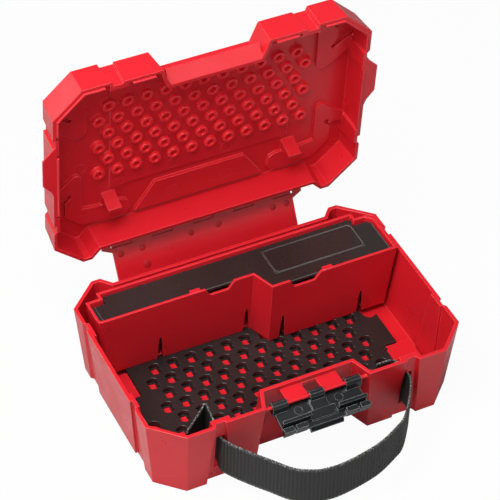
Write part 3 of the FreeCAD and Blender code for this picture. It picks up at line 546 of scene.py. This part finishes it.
def web_band(name, plan, bottom, thickness):
    """A band of webbing that stands on edge along a plan line, in millimetres."""
    line = smooth_line([Vector((x, y)) for x, y in plan], STEPS_PER_POINT)
    distances = [0.0]
    for here, there in zip(line, line[1:]):
        distances.append(distances[-1] + (there - here).length)
    section = [(row, 1) for row in range(len(web_rows))]
    section += [(row, -1) for row in range(len(web_rows) - 2, 0, -1)]
    count = len(section)
    vertices = []
    marks = []
    for index, point in enumerate(line):
        before = line[max(index - 1, 0)]
        after = line[min(index + 1, len(line) - 1)]
        along = (after - before).normalized()
        side = Vector((along.y, -along.x))
        run = distances[index]
        rib = RIB_DEPTH * math.sin(2 * math.pi * run / RIB_PITCH)
        for row, sign in section:
            height, share = web_rows[row]
            cup = CUP_DEPTH * math.sin(math.pi * height / WEB_HEIGHT) * math.sin(run / CUP_RUN)
            braid = 0.0
            if height > BRAID_FROM:
                braid = math.sin(2 * math.pi * run / BRAID_PITCH + sign)
            half = thickness / 2 + rib + BRAID_DEPTH * braid
            spot = point + side * (cup + sign * share * half)
            rise = bottom + height
            if height > TOP_EDGE_FROM:
                rise -= TOP_EDGE_DROP + TOP_EDGE_DROP * braid
            vertices.append((spot.x * MM, spot.y * MM, rise * MM))
            marks.append((run * MM, height * MM))
    faces = []
    for index in range(len(line) - 1):
        for step in range(count):
            a = index * count + step
            b = index * count + (step + 1) % count
            faces.append((a, a + count, b + count, b))
    faces.append(tuple(range(count)))
    last = (len(line) - 1) * count
    faces.append(tuple(last + step for step in reversed(range(count))))
    mesh = bpy.data.meshes.new(name)
    mesh.from_pydata(vertices, [], faces)
    uv = mesh.uv_layers.new(name="UVMap")
    for loop in mesh.loops:
        uv.data[loop.index].uv = marks[loop.vertex_index]
    for face in mesh.polygons:
        face.use_smooth = True
    band = bpy.data.objects.new(name, mesh)
    scene.collection.objects.link(band)
    mesh.materials.append(webbing)
    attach(band, "strap")
    return band


handle = web_band("webbing_handle", [
    (-124.5, -89.5), (-110, -77.5), (-98.5, -67.5), (-94.2, -63.6), (-93.4, -69), (-95.5, -86),
    (-97.3, -101), (-98.4, -110), (-93, -121), (-82, -137), (-69, -153.5), (-54, -172),
    (-38, -181.5), (-28, -184), (-13, -185), (10, -182), (34, -176), (56, -165.5),
    (69, -157), (86, -135.5), (97.3, -117), (98.6, -109), (97.5, -101), (96.3, -92),
    (94.7, -87.8), (91, -86.3), (85, -86), (77, -86),
], WEB_BOTTOM, WEB_THICKNESS)
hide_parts("carry_strap")


# Surroundings: plain white, lit by large soft lamps

world = bpy.data.worlds.new("world")
scene.world = world
world.use_nodes = True
tree = world.node_tree
tree.nodes.clear()
path = add_node(tree, "ShaderNodeLightPath")
surround = add_node(tree, "ShaderNodeBackground")
surround.inputs["Color"].default_value = (1, 1, 1, 1)
surround.inputs["Strength"].default_value = 0.16
white = add_node(tree, "ShaderNodeBackground")
white.inputs["Color"].default_value = (1, 1, 1, 1)
white.inputs["Strength"].default_value = 1.0
choice = add_node(tree, "ShaderNodeMixShader")
output = add_node(tree, "ShaderNodeOutputWorld")
tree.links.new(path.outputs["Is Camera Ray"], choice.inputs["Fac"])
tree.links.new(surround.outputs["Background"], choice.inputs[1])
tree.links.new(white.outputs["Background"], choice.inputs[2])
tree.links.new(choice.outputs["Shader"], output.inputs["Surface"])


def soft_lamp(name, place, target, width, height, power):
    lamp = bpy.data.lights.new(name, "AREA")
    lamp.shape = "RECTANGLE"
    lamp.size = width
    lamp.size_y = height
    lamp.energy = power
    holder = bpy.data.objects.new(name, lamp)
    holder.location = place
    direction = Vector(target) - Vector(place)
    holder.rotation_euler = direction.to_track_quat("-Z", "Y").to_euler()
    scene.collection.objects.link(holder)


soft_lamp("overhead", (-0.52, -0.22, 1.5), (0, 0.02, 0.1), 1.0, 1.0, 36)
soft_lamp("front_fill", (0.6, -2.3, 1.2), (0, 0, 0.15), 1.6, 1.0, 11)
soft_lamp("left_back", (-1.5, 2.0, 1.1), (0, 0.1, 0.2), 1.2, 0.8, 7)
soft_lamp("left_fill", (-2.4, -0.7, 0.7), (0, 0, 0.08), 1.2, 0.8, 9)


def pale_floor():
    """White floor that shows as nearly white and keeps a soft shadow."""
    mesh = bpy.data.meshes.new("floor")
    reach = 3.0
    drop = 0.0005
    mesh.from_pydata([(-reach, -reach, 0), (reach, -reach, 0), (reach, reach, 0),
                      (-reach, reach, 0)], [], [(0, 1, 2, 3)])
    ground = bpy.data.objects.new("floor", mesh)
    ground.location = (0, 0, -drop)
    scene.collection.objects.link(ground)
    material = bpy.data.materials.new("floor")
    material.use_nodes = True
    tree = material.node_tree
    tree.nodes.clear()
    path = add_node(tree, "ShaderNodeLightPath")
    matt = add_node(tree, "ShaderNodeBsdfDiffuse")
    matt.inputs["Color"].default_value = (0.50, 0.50, 0.50, 1)
    glow = add_node(tree, "ShaderNodeEmission")
    glow.inputs["Strength"].default_value = 1.0
    share = add_node(tree, "ShaderNodeMath", operation="MULTIPLY")
    share.inputs[1].default_value = 0.96
    tree.links.new(path.outputs["Is Camera Ray"], share.inputs[0])
    choice = add_node(tree, "ShaderNodeMixShader")
    tree.links.new(share.outputs["Value"], choice.inputs["Fac"])
    tree.links.new(matt.outputs["BSDF"], choice.inputs[1])
    tree.links.new(glow.outputs["Emission"], choice.inputs[2])
    output = add_node(tree, "ShaderNodeOutputMaterial")
    tree.links.new(choice.outputs["Shader"], output.inputs["Surface"])
    mesh.materials.append(material)


pale_floor()

camera = bpy.data.cameras.new("camera")
camera.lens = 165.11
camera.sensor_width = 36
camera.clip_end = 20
eye = bpy.data.objects.new("camera", camera)
eye.location = (-0.72485, -1.40344, 1.63011)
eye.rotation_euler = (0.82316656, -0.01833872, -0.44930939)
scene.collection.objects.link(eye)
scene.camera = eye
scene.view_settings.view_transform = "Standard"
